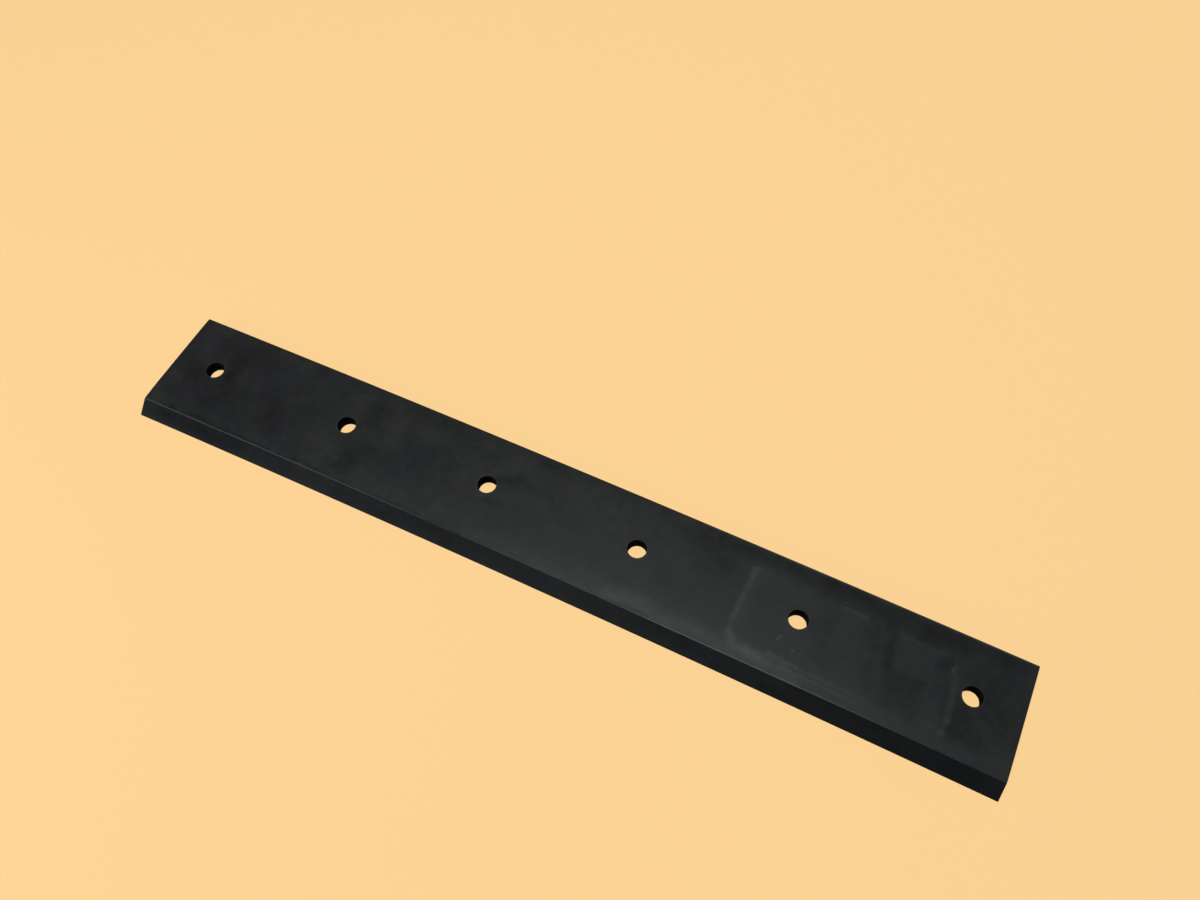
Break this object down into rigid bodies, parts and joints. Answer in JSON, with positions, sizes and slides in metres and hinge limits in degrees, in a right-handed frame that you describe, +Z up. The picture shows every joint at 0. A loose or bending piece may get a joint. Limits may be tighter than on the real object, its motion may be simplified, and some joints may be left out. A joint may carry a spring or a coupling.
{
  "type": "wash-up blade",
  "caption": "Flat black rubber strip with a bevelled knife edge and a row of screw holes, for scraping loosened ink off a press roller.",
  "frame": {"origin": "middle of the underside, at the centre of the strip's outline", "axes": "+X along the strip, +Y from the knife edge towards the back edge, +Z up, out of the face that carries the bevel"},
  "size_m": [0.39, 0.056, 0.006],
  "materials": {
    "black_rubber": "matte, faintly clouded, with a soft sheen"
  },
  "bodies": {
    "root": {"wash_up_blade": "black_rubber"}
  },
  "joints": []
}
